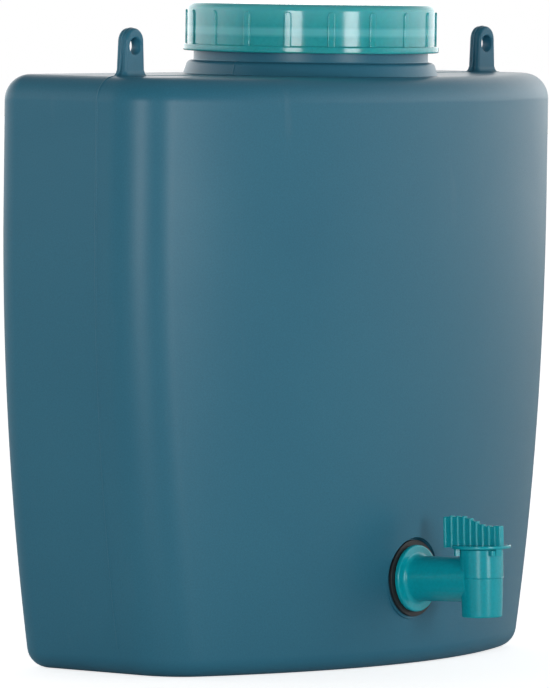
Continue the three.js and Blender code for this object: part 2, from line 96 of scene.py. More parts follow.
# %% [markdown]
# ## The studio
#
# The container stands on a white table with white all round. Two upright window-like softboxes stand on
# either side of the camera: glossy plastic shows them as tall bright bars. The rest is light bounced off
# the room. It is bright on both sides and behind the container, and dim overhead and behind the camera,
# so the ends of the tank turn pale while its front stays deep. The room is a world shader that gives
# camera rays plain white, so the picture's ground stays clean whatever the light does.

# %% Softboxes
SOFTBOX_DISTANCE = 2.6
SOFTBOX_HEIGHT = 0.8
SOFTBOX_MIDDLE = 0.42
SOFTBOX_POWER = 16


def add_softbox(name, turn_deg, width):
    """A softbox seen from the container at an angle to the right of the camera."""
    bearing = math.radians(AIM_HEADING_DEG + 180 + turn_deg)
    lamp = bpy.data.objects.new(name, bpy.data.lights.new(name, "AREA"))
    lamp.data.shape = "RECTANGLE"
    lamp.data.size = width
    lamp.data.size_y = SOFTBOX_HEIGHT
    lamp.data.energy = SOFTBOX_POWER
    outward = Vector((math.cos(bearing), math.sin(bearing), 0))
    lamp.location = outward * SOFTBOX_DISTANCE + Vector((0, 0, SOFTBOX_MIDDLE))
    lamp.rotation_euler = (-outward).to_track_quat("-Z", "Y").to_euler()
    bpy.context.scene.collection.objects.link(lamp)
    return lamp


window_left = add_softbox("window_left", turn_deg=-16, width=0.66)
window_right = add_softbox("window_right", turn_deg=37, width=0.62)
print("softboxes:", window_left.name, window_right.name)

# %% Room light
ROOM_BRIGHT_SIDE = (0.79, 0.61, 0.0)
SIDE_SPAN = (-0.55, 0.0)
SIDE_LIGHT = (0.08, 2.0)
HEIGHT_SPAN = (0.2, 0.7)
HEIGHT_LIGHT = (1.0, 0.1)


def light_over(tree, source, span, light):
    """Light that changes evenly from one level to another over a span of directions."""
    fade = tree.nodes.new("ShaderNodeMapRange")
    fade.inputs["From Min"].default_value, fade.inputs["From Max"].default_value = span
    fade.inputs["To Min"].default_value, fade.inputs["To Max"].default_value = light
    tree.links.new(source, fade.inputs["Value"])
    return fade.outputs[0]


def make_room():
    room = bpy.data.worlds.new("room")
    bpy.context.scene.world = room
    room.use_nodes = True
    tree = room.node_tree
    tree.nodes.clear()
    place = tree.nodes.new("ShaderNodeTexCoord")
    side = tree.nodes.new("ShaderNodeVectorMath")
    side.operation = "DOT_PRODUCT"
    side.inputs[1].default_value = ROOM_BRIGHT_SIDE
    tree.links.new(place.outputs["Generated"], side.inputs[0])
    sideways = light_over(tree, side.outputs["Value"], SIDE_SPAN, SIDE_LIGHT)
    split = tree.nodes.new("ShaderNodeSeparateXYZ")
    tree.links.new(place.outputs["Generated"], split.inputs[0])
    overhead = light_over(tree, split.outputs["Z"], HEIGHT_SPAN, HEIGHT_LIGHT)
    both = tree.nodes.new("ShaderNodeMath")
    both.operation = "MULTIPLY"
    tree.links.new(sideways, both.inputs[0])
    tree.links.new(overhead, both.inputs[1])
    light = tree.nodes.new("ShaderNodeBackground")
    tree.links.new(both.outputs[0], light.inputs["Strength"])
    ground = tree.nodes.new("ShaderNodeBackground")
    path = tree.nodes.new("ShaderNodeLightPath")
    choose = tree.nodes.new("ShaderNodeMixShader")
    tree.links.new(path.outputs["Is Camera Ray"], choose.inputs[0])
    tree.links.new(light.outputs[0], choose.inputs[1])
    tree.links.new(ground.outputs[0], choose.inputs[2])
    for background in (light, ground):
        background.inputs["Color"].default_value = (1, 1, 1, 1)
    output = tree.nodes.new("ShaderNodeOutputWorld")
    tree.links.new(choose.outputs[0], output.inputs["Surface"])
    return room


room = make_room()
bpy.context.scene.view_settings.view_transform = "Standard"
print("room light:", room.name)

# %% [markdown]
# ## Shape tools
#
# Three ways of making a solid cover this whole object. A lathe turns an outline about an axis, as for
# the cap and the tap's barrels. A loft stretches a skin over a row of outlines, as for the tank. A
# thread is a small section swept along a helix. The solids are then joined and cut with Boolean
# modifiers, which are applied at once so that each piece ends as one clean closed mesh.

# %% Outlines
def arc(x, y, radius, start, end, steps):
    """Points on a circular arc, both ends included."""
    angles = [start + (end - start) * i / steps for i in range(steps + 1)]
    return [(x + radius * math.cos(a), y + radius * math.sin(a)) for a in angles]


def rounded_rectangle(half_x, half_y, radius, steps=6):
    """A rectangle with rounded corners, drawn anticlockwise."""
    x = half_x - radius
    y = half_y - radius
    corners = [(x, y, 0), (-x, y, QUARTER), (-x, -y, 2 * QUARTER), (x, -y, 3 * QUARTER)]
    return [point for cx, cy, a in corners for point in arc(cx, cy, radius, a, a + QUARTER, steps)]


def at_height(outline, height):
    return [(x, y, height) for x, y in outline]


# %% Solids
def lathe(profile, sides=96):
    """Turns an outline of (radius, height) pairs about Z: upwards outside, ending on the axis or closed."""
    points = []
    rings = []
    for radius, height in profile:
        count = 1 if radius < 1e-6 else sides
        rings.append(range(len(points), len(points) + count))
        angles = [TURN * i / sides for i in range(count)]
        points += [(radius * math.cos(a), radius * math.sin(a), height) for a in angles]
    steps = list(zip(rings, rings[1:]))
    if profile[0][0] > 1e-6:
        steps.append((rings[-1], rings[0]))
    faces = []
    for low, high in steps:
        for i in range(sides):
            j = (i + 1) % sides
            corners = [low[i % len(low)], low[j % len(low)], high[j % len(high)], high[i % len(high)]]
            face = list(dict.fromkeys(corners))
            if len(face) > 2:
                faces.append(face)
    return points, faces


def loft(rings):
    """Skins a row of outlines with the same number of points and closes both ends."""
    count = len(rings[0])
    points = [point for ring in rings for point in ring]
    faces = []
    for level in range(len(rings) - 1):
        first = level * count
        for i in range(count):
            j = (i + 1) % count
            faces.append((first + i, first + j, first + count + j, first + count + i))
    faces.append(tuple(reversed(range(count))))
    faces.append(tuple(range(len(points) - count, len(points))))
    return points, faces


def rod(radius, low, high, sides=96):
    return lathe([(0, low), (radius, low), (radius, high), (0, high)], sides)


RIDGE_ROOT = 0.6
RIDGE_CHAMFER = 0.25
RIDGE_START = 0.05


def thread_ridge(carrier, crest, level, pitch, turns, root_width, crest_width, fade, steps=60):
    """A helical ridge between two radii that fades in and out at its ends."""
    outward = 1 if crest > carrier else -1
    foot = carrier - outward * RIDGE_ROOT
    sweep = turns * TURN
    total = round(turns * steps)
    rings = []
    for i in range(total + 1):
        angle = sweep * i / total
        strength = RIDGE_START + min(1 - RIDGE_START, angle / fade, (sweep - angle) / fade)
        tip = carrier + (crest - carrier) * strength
        middle = level + pitch * angle / TURN
        half = root_width / 2
        top = crest_width / 2
        shoulder = tip - outward * RIDGE_CHAMFER * strength
        section = [
            (foot, middle - half),
            (carrier, middle - half),
            (shoulder, middle - top - 0.1),
            (tip, middle - top + 0.15),
            (tip, middle + top - 0.15),
            (shoulder, middle + top + 0.1),
            (carrier, middle + half),
            (foot, middle + half),
        ]
        if outward > 0:
            section.reverse()
        rings.append([(r * math.cos(angle), r * math.sin(angle), z) for r, z in section])
    return loft(rings)


# %% From shapes to objects
def make_solid(name, shape, place=Matrix.Identity(4)):
    """Turns a shape in millimetres into a Blender object in metres."""
    points, faces = shape
    mesh = bpy.data.meshes.new(name)
    mesh.from_pydata([(place @ Vector(point)) * MM for point in points], [], faces)
    solid = bpy.data.objects.new(name, mesh)
    bpy.context.scene.collection.objects.link(solid)
    return solid


def settle(solid):
    """Applies an object's modifiers to its mesh."""
    graph = bpy.context.evaluated_depsgraph_get()
    mesh = bpy.data.meshes.new_from_object(solid.evaluated_get(graph))
    rough = solid.data
    solid.modifiers.clear()
    solid.data = mesh
    bpy.data.meshes.remove(rough)
    mesh.name = solid.name


def combine(solid, tool, operation):
    """Joins a tool to a solid (UNION) or cuts it away (DIFFERENCE), and uses the tool up."""
    step = solid.modifiers.new(operation, "BOOLEAN")
    step.operation = operation
    step.solver = "MANIFOLD"
    step.object = tool
    settle(solid)
    bpy.data.meshes.remove(tool.data)
    return solid


def join(solid, shape, place=Matrix.Identity(4)):
    return combine(solid, make_solid("tool", shape, place), "UNION")


def cut(solid, shape, place=Matrix.Identity(4)):
    return combine(solid, make_solid("tool", shape, place), "DIFFERENCE")


def finish_piece(piece, body, material, node, sharp_deg=34):
    """Smooths a piece, gives it its finish and hangs it on its moving body in place of a plain node."""
    piece.data.materials.clear()
    piece.data.materials.append(material)
    piece.data.shade_smooth()
    piece.data.set_sharp_from_angle(angle=math.radians(sharp_deg))
    even = piece.modifiers.new("even_shading", "WEIGHTED_NORMAL")
    even.keep_sharp = True
    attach(piece, body)
    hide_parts(node)
    print(piece.name, "on", body, "with", len(piece.data.polygons), "faces")


# %% [markdown]
# ## Shared surface effects
#
# Moulded plastic is never one flat colour. The pigment is a little uneven, the mould leaves a fine
# grain, and hands leave rub marks. Each effect is a node group, so that every finish can use it with
# its own values: the groups only give colours, masks and heights, and each material keeps its shader.

# %% Group tools
def new_group(name, inputs, outputs):
    """An empty shader group with named sockets."""
    group = bpy.data.node_groups.new(name, "ShaderNodeTree")
    kinds = {"colour": "NodeSocketColor", "vector": "NodeSocketVector", "value": "NodeSocketFloat"}
    for label, kind, value in inputs:
        socket = group.interface.new_socket(label, in_out="INPUT", socket_type=kinds[kind])
        if value is not None:
            socket.default_value = value
    for label, kind in outputs:
        group.interface.new_socket(label, in_out="OUTPUT", socket_type=kinds[kind])
    entry = group.nodes.new("NodeGroupInput")
    result = group.nodes.new("NodeGroupOutput")
    return group, entry, result


def add_node(tree, kind, settings=None, **values):
    """Adds a node, sets its own settings and then its input values by name."""
    node = tree.nodes.new(kind)
    for key, value in (settings or {}).items():
        setattr(node, key, value)
    for label, value in values.items():
        node.inputs[label.replace("_", " ")].default_value = value
    return node


def mix_colours(tree, factor, first, second, blend="MIX"):
    mix = add_node(tree, "ShaderNodeMix", {"data_type": "RGBA", "blend_type": blend})
    for socket, source in ((mix.inputs[0], factor), (mix.inputs[6], first), (mix.inputs[7], second)):
        if hasattr(source, "node"):
            tree.links.new(source, socket)
        else:
            socket.default_value = source
    return mix.outputs[2]


# %% Pigment clouds and mould grain
def moulded_surface_group():
    """Uneven pigment, plus the fine grain that a mould leaves on plastic."""
    group, entry, result = new_group(
        "moulded_surface",
        [
            ("Position", "vector", None),
            ("Colour", "colour", (0.5, 0.5, 0.5, 1)),
            ("Deep Colour", "colour", (0.3, 0.3, 0.3, 1)),
            ("Cloud Scale", "value", 9.0),
            ("Grain Scale", "value", 1400.0),
        ],
        [("Colour", "colour"), ("Grain", "value"), ("Cloud", "value")],
    )
    cloud = add_node(group, "ShaderNodeTexNoise", Detail=5.0, Roughness=0.55, Distortion=0.4)
    grain = add_node(group, "ShaderNodeTexNoise", Detail=3.0, Roughness=0.6)
    for texture, label in ((cloud, "Cloud Scale"), (grain, "Grain Scale")):
        group.links.new(entry.outputs["Position"], texture.inputs["Vector"])
        group.links.new(entry.outputs[label], texture.inputs["Scale"])
    spread = add_node(group, "ShaderNodeMapRange", From_Min=0.35, From_Max=0.65)
    group.links.new(cloud.outputs["Fac"], spread.inputs["Value"])
    pigment = mix_colours(
        group, spread.outputs[0], entry.outputs["Colour"], entry.outputs["Deep Colour"]
    )
    fleck = add_node(group, "ShaderNodeMapRange", From_Min=0.3, From_Max=0.7, To_Min=0.93, To_Max=1.07)
    group.links.new(grain.outputs["Fac"], fleck.inputs["Value"])
    shaded = mix_colours(group, 1.0, pigment, fleck.outputs[0], "MULTIPLY")
    group.links.new(shaded, result.inputs["Colour"])
    group.links.new(grain.outputs["Fac"], result.inputs["Grain"])
    group.links.new(spread.outputs[0], result.inputs["Cloud"])
    return group


moulded_surface = moulded_surface_group()
print("group:", moulded_surface.name)

# %% Rub marks
def rub_marks_group():
    """Short faint scratches and dull patches where a piece is handled."""
    group, entry, result = new_group(
        "rub_marks",
        [
            ("Position", "vector", None),
            ("Colour", "colour", (0.5, 0.5, 0.5, 1)),
            ("Mark Colour", "colour", (0.7, 0.7, 0.7, 1)),
            ("Amount", "value", 0.2),
            ("Scale", "value", 60.0),
        ],
        [("Colour", "colour"), ("Mask", "value")],
    )
    stretch = add_node(group, "ShaderNodeMapping")
    stretch.inputs["Scale"].default_value = (1.0, 1.0, 0.12)
    stretch.inputs["Rotation"].default_value = (0.35, 0.2, 0.6)
    group.links.new(entry.outputs["Position"], stretch.inputs["Vector"])
    streak = add_node(group, "ShaderNodeTexNoise", Detail=4.0, Roughness=0.7)
    patch = add_node(group, "ShaderNodeTexNoise", Scale=14.0, Detail=2.0)
    group.links.new(stretch.outputs[0], streak.inputs["Vector"])
    group.links.new(entry.outputs["Scale"], streak.inputs["Scale"])
    group.links.new(entry.outputs["Position"], patch.inputs["Vector"])
    fine = add_node(group, "ShaderNodeMapRange", From_Min=0.6, From_Max=0.72)
    where = add_node(group, "ShaderNodeMapRange", From_Min=0.48, From_Max=0.66)
    group.links.new(streak.outputs["Fac"], fine.inputs["Value"])
    group.links.new(patch.outputs["Fac"], where.inputs["Value"])
    both = add_node(group, "ShaderNodeMath", {"operation": "MULTIPLY"})
    group.links.new(fine.outputs[0], both.inputs[0])
    group.links.new(where.outputs[0], both.inputs[1])
    amount = add_node(group, "ShaderNodeMath", {"operation": "MULTIPLY"})
    group.links.new(both.outputs[0], amount.inputs[0])
    group.links.new(entry.outputs["Amount"], amount.inputs[1])
    marked = mix_colours(
        group, amount.outputs[0], entry.outputs["Colour"], entry.outputs["Mark Colour"]
    )
    group.links.new(marked, result.inputs["Colour"])
    group.links.new(amount.outputs[0], result.inputs["Mask"])
    return group


rub_marks = rub_marks_group()
print("group:", rub_marks.name)

# %% [markdown]
# ## Finishes
#
# The tank is satin polyethylene with a fine mould grain. The cap and the tap come from polished moulds:
# the tap is opaque, and the cap lets some light through its thin wall. The gaskets are matte rubber.
# One function wires pigment, marks, roughness and grain into a Principled shader; what makes each
# finish its own is the set of values it is given.
#
# The cap's skirt looks deeper where the dark neck stands close behind it, and paler where light comes
# through with only air behind: in a band under the seal and near the top. Light could be traced through
# the wall, but two bands of painted see-through light, placed by height, say the same and render at once.

# %% Plastic builder
def plastic(name, colour, deep, rough, grain_scale, grain_depth, marks, cloud_scale=9.0, sockets=None):
    """A moulded plastic or rubber: pigment clouds, rub marks, varied roughness and grain."""
    material = bpy.data.materials.new(name)
    material.use_nodes = True
    tree = material.node_tree
    shader = tree.nodes["Principled BSDF"]
    place = tree.nodes.new("ShaderNodeTexCoord")
    surface = add_node(tree, "ShaderNodeGroup", {"node_tree": moulded_surface})
    surface.inputs["Colour"].default_value = (*colour, 1)
    surface.inputs["Deep Colour"].default_value = (*deep, 1)
    surface.inputs["Cloud Scale"].default_value = cloud_scale
    surface.inputs["Grain Scale"].default_value = grain_scale
    rubbed = add_node(tree, "ShaderNodeGroup", {"node_tree": rub_marks})
    rubbed.inputs["Amount"].default_value = marks
    rubbed.inputs["Mark Colour"].default_value = (*[0.5 * c + 0.35 for c in colour], 1)
    for group in (surface, rubbed):
        tree.links.new(place.outputs["Object"], group.inputs["Position"])
    tree.links.new(surface.outputs["Colour"], rubbed.inputs["Colour"])
    tree.links.new(rubbed.outputs["Colour"], shader.inputs["Base Color"])
    vary = add_node(tree, "ShaderNodeMapRange", To_Min=rough[0], To_Max=rough[1])
    tree.links.new(surface.outputs["Cloud"], vary.inputs["Value"])
    dull = add_node(tree, "ShaderNodeMath", {"operation": "ADD"})
    tree.links.new(vary.outputs[0], dull.inputs[0])
    tree.links.new(rubbed.outputs["Mask"], dull.inputs[1])
    tree.links.new(dull.outputs[0], shader.inputs["Roughness"])
    bump = add_node(tree, "ShaderNodeBump", Strength=1.0, Distance=grain_depth)
    tree.links.new(surface.outputs["Grain"], bump.inputs["Height"])
    tree.links.new(bump.outputs[0], shader.inputs["Normal"])
    for label, value in (sockets or {}).items():
        shader.inputs[label].default_value = value
    return material


# %% Painted see-through light on a thin wall
def paint_see_through_light(material, bands, light):
    """Paints light showing through a thin wall as paler bands of (middle, half height, fade, share of the
    light colour).
    """
    tree = material.node_tree
    colour_socket = tree.nodes["Principled BSDF"].inputs["Base Color"]
    colour = colour_socket.links[0].from_socket
    place = tree.nodes.new("ShaderNodeTexCoord")
    split = tree.nodes.new("ShaderNodeSeparateXYZ")
    tree.links.new(place.outputs["Object"], split.inputs[0])
    for middle, half, fade, share in bands:
        offset = add_node(tree, "ShaderNodeMath", {"operation": "SUBTRACT"})
        offset.inputs[1].default_value = middle * MM
        tree.links.new(split.outputs["Z"], offset.inputs[0])
        away = add_node(tree, "ShaderNodeMath", {"operation": "ABSOLUTE"})
        tree.links.new(offset.outputs[0], away.inputs[0])
        band = add_node(tree, "ShaderNodeMapRange", From_Min=half * MM, From_Max=(half + fade) * MM)
        band.inputs["To Min"].default_value = share
        band.inputs["To Max"].default_value = 0.0
        tree.links.new(away.outputs[0], band.inputs["Value"])
        colour = mix_colours(tree, band.outputs[0], colour, (*light, 1))
    tree.links.new(colour, colour_socket)


# %% The five finishes
tank_plastic = plastic(
    "satin_petrol_plastic",
    colour=(0.036, 0.18, 0.268),
    deep=(0.031, 0.168, 0.256),
    rough=(0.33, 0.37),
    grain_scale=1500.0,
    grain_depth=0.00004,
    marks=0.06,
    sockets={"Specular IOR Level": 0.3},
)
cap_plastic = plastic(
    "clear_teal_plastic",
    colour=(0.03, 0.42, 0.455),
    deep=(0.022, 0.4, 0.435),
    rough=(0.11, 0.15),
    grain_scale=500.0,
    grain_depth=0.00001,
    marks=0.06,
    sockets={"Subsurface Weight": 0.25, "Subsurface Scale": 0.004},
)
# Painted see-through light: paler bands where light comes through the cap's wall with only air behind it.
PAINTED_LIGHT_UNDER_SEAL = (307.2, 1.1, 1.5, 0.9)
PAINTED_LIGHT_NEAR_TOP = (319.5, 3.0, 8.0, 0.55)
paint_see_through_light(cap_plastic, [PAINTED_LIGHT_UNDER_SEAL, PAINTED_LIGHT_NEAR_TOP], light=(0.12, 0.58, 0.62))
tap_plastic = plastic(
    "glossy_teal_plastic",
    colour=(0.002, 0.42, 0.5),
    deep=(0.001, 0.4, 0.475),
    rough=(0.2, 0.26),
    grain_scale=700.0,
    grain_depth=0.00001,
    marks=0.08,
    cloud_scale=40.0,
)
seal_foam = plastic(
    "pale_seal_foam",
    colour=(0.66, 0.68, 0.64),
    deep=(0.58, 0.6, 0.57),
    rough=(0.75, 0.85),
    grain_scale=2200.0,
    grain_depth=0.00015,
    marks=0.0,
)
black_rubber = plastic(
    "black_rubber",
    colour=(0.012, 0.014, 0.016),
    deep=(0.018, 0.02, 0.022),
    rough=(0.5, 0.62),
    grain_scale=1800.0,
    grain_depth=0.00006,
    marks=0.1,
)
print("finishes:", [m.name for m in (tank_plastic, cap_plastic, tap_plastic, seal_foam, black_rubber)])

# %% [markdown]
# ## The tank's skin
#
# Seen from above the tank has a flat back, straight ends and a bowed front; below three quarters of its
# height the ends and the front draw in along a parabola. The edges at the top and the base are quarter
# rounds. All of that is one formula for the outline at a level, so the skin is a loft of many levels.
# Subdividing a box would also give a rounded tank, but the true radii would be hard to hit.

# %% Tank sizes
TANK_HEIGHT = 286
HALF_LENGTH = 166
REAR_DEPTH = 64
FRONT_DEPTH = 74
FRONT_RADIUS = 306
REAR_CORNER = 14
FRONT_CORNER = 32
TOP_EDGE = 12.5
BASE_EDGE = 9
TAPER_TOP = 226
END_TAPER = 24
FRONT_TAPER = 11
WALL = 2.5
print("tank:", 2 * HALF_LENGTH, "x", REAR_DEPTH + FRONT_DEPTH, "x", TANK_HEIGHT, "mm")


# %% Tank skin
def taper_at(level):
    return max(0, (TAPER_TOP - level) / TAPER_TOP) ** 2


def tank_outline(level, inset):
    """The outline at a level, moved inwards by an inset, drawn anticlockwise."""
    length = HALF_LENGTH - END_TAPER * taper_at(level) - inset
    rear = REAR_DEPTH - inset
    bow = FRONT_RADIUS - inset
    bow_centre = bow - (FRONT_DEPTH - FRONT_TAPER * taper_at(level) - inset)
    rear_corner = max(REAR_CORNER - inset, 3)
    front_corner = max(FRONT_CORNER - inset, 3)
    corner_x = length - front_corner
    corner_y = bow_centre - math.sqrt((bow - front_corner) ** 2 - corner_x**2)
    lean = math.atan2(corner_x, bow_centre - corner_y)
    rear_x = length - rear_corner
    rear_y = rear - rear_corner
    bowed = arc(0, bow_centre, bow, 3 * QUARTER - lean, 3 * QUARTER + lean, 56)
    return [
        *arc(corner_x, corner_y, front_corner, lean - QUARTER, 0, 14),
        *arc(rear_x, rear_y, rear_corner, 0, QUARTER, 10),
        *arc(-rear_x, rear_y, rear_corner, QUARTER, 2 * QUARTER, 10),
        *arc(-corner_x, corner_y, front_corner, 2 * QUARTER, 3 * QUARTER - lean, 14),
        *bowed[1:-1],
    ]


def tank_skin(inset):
    """A closed skin with rounded base and top edges, inset from the outer surface."""
    base = max(BASE_EDGE - inset, 2)
    top = max(TOP_EDGE - inset, 2)
    low = inset
    high = TANK_HEIGHT - inset
    levels = [(low + z, base - r) for r, z in arc(0, base, base, -QUARTER, 0, 8)[:-1]]
    levels += [(low + base + (TAPER_TOP - low - base) * i / 40, 0) for i in range(41)]
    levels += [(high - top + z, top - r) for r, z in arc(0, 0, top, 0, QUARTER, 12)]
    return loft([at_height(tank_outline(z, inset + edge), z) for z, edge in levels])


# %% [markdown]
# ## Ears, neck and parting line
#
# The ears carry the container on a wall: a rounded plate with a hole that narrows to the middle, on a
# root that flares into the tank. The neck rises from a sloping shoulder ring and carries a coarse
# thread. The two mould halves meet in the plane through both ears, and leave a fine raised line there
# over the ends, the top, the ears and the neck. The line is a thin rod laid on the surface, because
# a real raised line catches the light from every side, which a painted one wouldn't.

# %% Ear
EAR_OFFSET = 141
EAR_HEIGHT = 22.9
EAR_WIDTH = 13.2
EAR_THICKNESS = 6.4
EAR_DRAFT = 1.1
EAR_EDGE = 1.5
EAR_ROOT = 2.6
EAR_HOLE = 3.8
EAR_HOLE_DROP = 8.6
EAR_HOLE_MOUTH = 1.1
EAR_HOLE_WAIST = 0.2
EAR_SINK = 4
ROOT_SINK = 3
UPRIGHT = Matrix.Rotation(QUARTER, 4, "X")


def ear_outline(inset, foot):
    """Drafted sides and a half-round top."""
    half = EAR_WIDTH / 2 - inset
    shoulder = EAR_HEIGHT - EAR_WIDTH / 2
    sides = half + EAR_DRAFT
    return [(-sides, foot), (sides, foot), *arc(0, shoulder, half, 0, 2 * QUARTER, 32)]


def ear_plate():
    straight = EAR_THICKNESS / 2 - EAR_EDGE
    rounded = arc(0, 0, EAR_EDGE, 0, QUARTER, 6)
    front = [(straight + out, EAR_EDGE - side) for side, out in rounded]
    steps = [(-depth, inset) for depth, inset in reversed(front)] + front
    return loft([at_height(ear_outline(inset, -EAR_SINK), depth) for depth, inset in steps])


def ear_root():
    """A foot that flares from the ear's section into the tank's top."""
    half_x = EAR_WIDTH / 2 + EAR_DRAFT
    half_y = EAR_THICKNESS / 2
    flare = [(EAR_ROOT - EAR_ROOT * math.sin(a), EAR_ROOT - EAR_ROOT * math.cos(a))
             for a in [QUARTER * i / 8 for i in range(9)]]
    levels = [(-ROOT_SINK, EAR_ROOT), *[(z, out) for out, z in flare]]
    return loft(
        [at_height(rounded_rectangle(half_x + out, half_y + out, EAR_EDGE + out), z) for z, out in levels]
    )


def ear_hole():
    """A hole that is narrowest in the parting plane and rounded at both mouths."""
    half = EAR_THICKNESS / 2
    past = half + 1
    mouth = EAR_HOLE + EAR_HOLE_MOUTH
    inner = EAR_HOLE + EAR_HOLE_WAIST
    front = [(inner, half - 1.2), (inner + 0.15, half - 0.5), (mouth, half), (mouth, past)]
    rear = [(radius, -depth) for radius, depth in reversed(front)]
    waist = (EAR_HOLE - EAR_HOLE_WAIST, 0)
    return lathe([(0, -past), *rear, waist, *front, (0, past)], 48)


# %% Neck
RING_FOOT = 62.2
RING_SLOPE_TOP = 60.9
RING_SLOPE_HEIGHT = 3.6
RING_HEIGHT = 6.2
NECK_BEAD = 57.2
NECK_BEAD_HEIGHT = 12.8
NECK_ROOT = 54.6
NECK_CREST = 57
NECK_BORE = 52.2
NECK_HEIGHT = 30
NECK_SINK = 14
LIP_EDGE = 0.9
BEAD_EDGE = 0.6
THREAD = {"pitch": 6, "turns": 1.5, "root_width": 3.2, "crest_width": 1.4, "fade": TURN / 18}
THREAD_START = TANK_HEIGHT + 18
LIP = TANK_HEIGHT + NECK_HEIGHT


def neck_profile():
    top = TANK_HEIGHT
    edge = RING_HEIGHT - RING_SLOPE_HEIGHT
    ring = arc(RING_SLOPE_TOP - edge, top + RING_SLOPE_HEIGHT, edge, 0.12, QUARTER, 8)
    lip_edge = arc(NECK_ROOT - LIP_EDGE, LIP - LIP_EDGE, LIP_EDGE, 0, QUARTER, 5)
    bead_edge = arc(NECK_BEAD - BEAD_EDGE, top + NECK_BEAD_HEIGHT - BEAD_EDGE, BEAD_EDGE, 0, QUARTER, 4)
    foot_edge = [(NECK_BEAD + 0.8, top + RING_HEIGHT), (NECK_BEAD + 0.2, top + RING_HEIGHT + 0.25)]
    return [
        (0, top - NECK_SINK),
        (RING_FOOT, top - NECK_SINK),
        (RING_FOOT, top),
        *ring,
        *foot_edge,
        (NECK_BEAD, top + RING_HEIGHT + 0.9),
        *bead_edge,
        (NECK_ROOT, top + NECK_BEAD_HEIGHT),
        *lip_edge,
        (0, LIP),
    ]


# %% Parting line
SEAM_PROUD = 0.28
SEAM_HALF_WIDTH = 0.55
SEAM_FOOT = BASE_EDGE + 4
SEAM_TOP = TANK_HEIGHT + NECK_BEAD_HEIGHT - 0.7


def seam_route():
    """The tank's silhouette in the parting plane from the base to the cap, on the right-hand side."""
    end = [SEAM_FOOT + (TAPER_TOP - SEAM_FOOT) * i / 40 for i in range(41)]
    route = [(HALF_LENGTH - END_TAPER * taper_at(z), z) for z in end]
    route += arc(HALF_LENGTH - TOP_EDGE, TANK_HEIGHT - TOP_EDGE, TOP_EDGE, 0, QUARTER, 12)
    half = EAR_WIDTH / 2
    foot = half + EAR_DRAFT
    shoulder = TANK_HEIGHT + EAR_HEIGHT - half
    route += [(EAR_OFFSET + foot + EAR_ROOT, TANK_HEIGHT)]
    route += [(EAR_OFFSET + foot, TANK_HEIGHT + EAR_ROOT)]
    route += arc(EAR_OFFSET, shoulder, half, 0, 2 * QUARTER, 24)
    route += [(EAR_OFFSET - foot, TANK_HEIGHT + EAR_ROOT)]
    route += [(EAR_OFFSET - foot - EAR_ROOT, TANK_HEIGHT)]
    neck_side = [(radius, level) for radius, level in neck_profile()[2:] if level < SEAM_TOP]
    return route + neck_side


def seam_rod():
    """A flat rod, laid along the silhouette with half of it below the surface."""
    route = [Vector((x, 0, z)) for x, z in seam_route()]
    ellipse = [(math.cos(a), math.sin(a)) for a in [TURN * i / 10 for i in range(10)]]
    rings = []
    for i, point in enumerate(route):
        along = (route[min(i + 1, len(route) - 1)] - route[max(i - 1, 0)]).normalized()
        out = Vector((along.z, 0, -along.x))
        rings.append(
            [point + out * SEAM_PROUD * a + Vector((0, SEAM_HALF_WIDTH * b, 0)) for a, b in ellipse]
        )
    return loft(rings)


# %% [markdown]
# ## Tap sizes and the tap's place
#
# The tap is easiest to draw in a frame of its own: the floor of its round seat is the plane Y = 0, and
# the tap leaves along -Y. One matrix then stands the whole tap in the tank, tilted up by two degrees.

# %% Tap frame
TAP_HEIGHT = 43
TAP_TILT = math.radians(2)
SEAT_RADIUS = 19.1
SEAT_DEPTH = 1
SEAT_HOLE = 10.9
SEAT_WALL = 3.2
SEAT_EDGE = 0.8
SEAT_BACKING = 0.5
OVERRUN = 20
SEAT_FLOOR = FRONT_DEPTH - FRONT_TAPER * taper_at(TAP_HEIGHT) - SEAT_DEPTH
TAP_PLACE = Matrix.Translation((0, -SEAT_FLOOR, TAP_HEIGHT)) @ Matrix.Rotation(-TAP_TILT, 4, "X")
TAP_ALONG = TAP_PLACE @ UPRIGHT
print("tap seat at", [round(v, 2) for v in TAP_PLACE.translation], "mm")


# %% The finished tank
def build_tank():
    tank = make_solid("moulded_tank", tank_skin(0))
    join(tank, lathe(neck_profile(), 144))
    join(tank, thread_ridge(NECK_ROOT, NECK_CREST, THREAD_START, **THREAD))
    for side in (-1, 1):
        spot = Matrix.Translation((side * EAR_OFFSET, 0, TANK_HEIGHT))
        mirror = Matrix.Identity(4) if side > 0 else Matrix.Rotation(math.pi, 4, "Z")
        join(tank, ear_plate(), spot @ UPRIGHT)
        join(tank, ear_root(), spot)
        join(tank, seam_rod(), mirror)
        hole_place = Matrix.Translation((0, 0, EAR_HEIGHT - EAR_HOLE_DROP)) @ UPRIGHT
        cut(tank, ear_hole(), spot @ hole_place)
    join(tank, rod(SEAT_RADIUS + SEAT_BACKING, -SEAT_WALL, 0), TAP_ALONG)
    hollow = make_solid("hollow", tank_skin(WALL))
    cut(hollow, rod(SEAT_RADIUS + SEAT_WALL, -SEAT_WALL, OVERRUN), TAP_ALONG)
    combine(tank, hollow, "DIFFERENCE")
    cut(tank, rod(NECK_BORE, TANK_HEIGHT - OVERRUN, LIP + OVERRUN, 144))
    mouth = SEAT_RADIUS + SEAT_EDGE
    seat = [(0, 0), (SEAT_RADIUS, 0), (SEAT_RADIUS, SEAT_DEPTH - SEAT_EDGE)]
    seat += [(mouth, SEAT_DEPTH + 0.2), (mouth, OVERRUN), (0, OVERRUN)]
    cut(tank, lathe(seat), TAP_ALONG)
    cut(tank, rod(SEAT_HOLE, -OVERRUN, OVERRUN, 64), TAP_ALONG)
    return tank


tank = build_tank()
finish_piece(tank, "container", tank_plastic, "tank")

# %% [markdown]
# ## The screw cap
#
# A polished shell with eighteen grip ribs, a flange round its lower edge and a thread inside. The ribs
# are flat bars with rounded edges and domed tops: each rounded edge makes its own thin line of light.

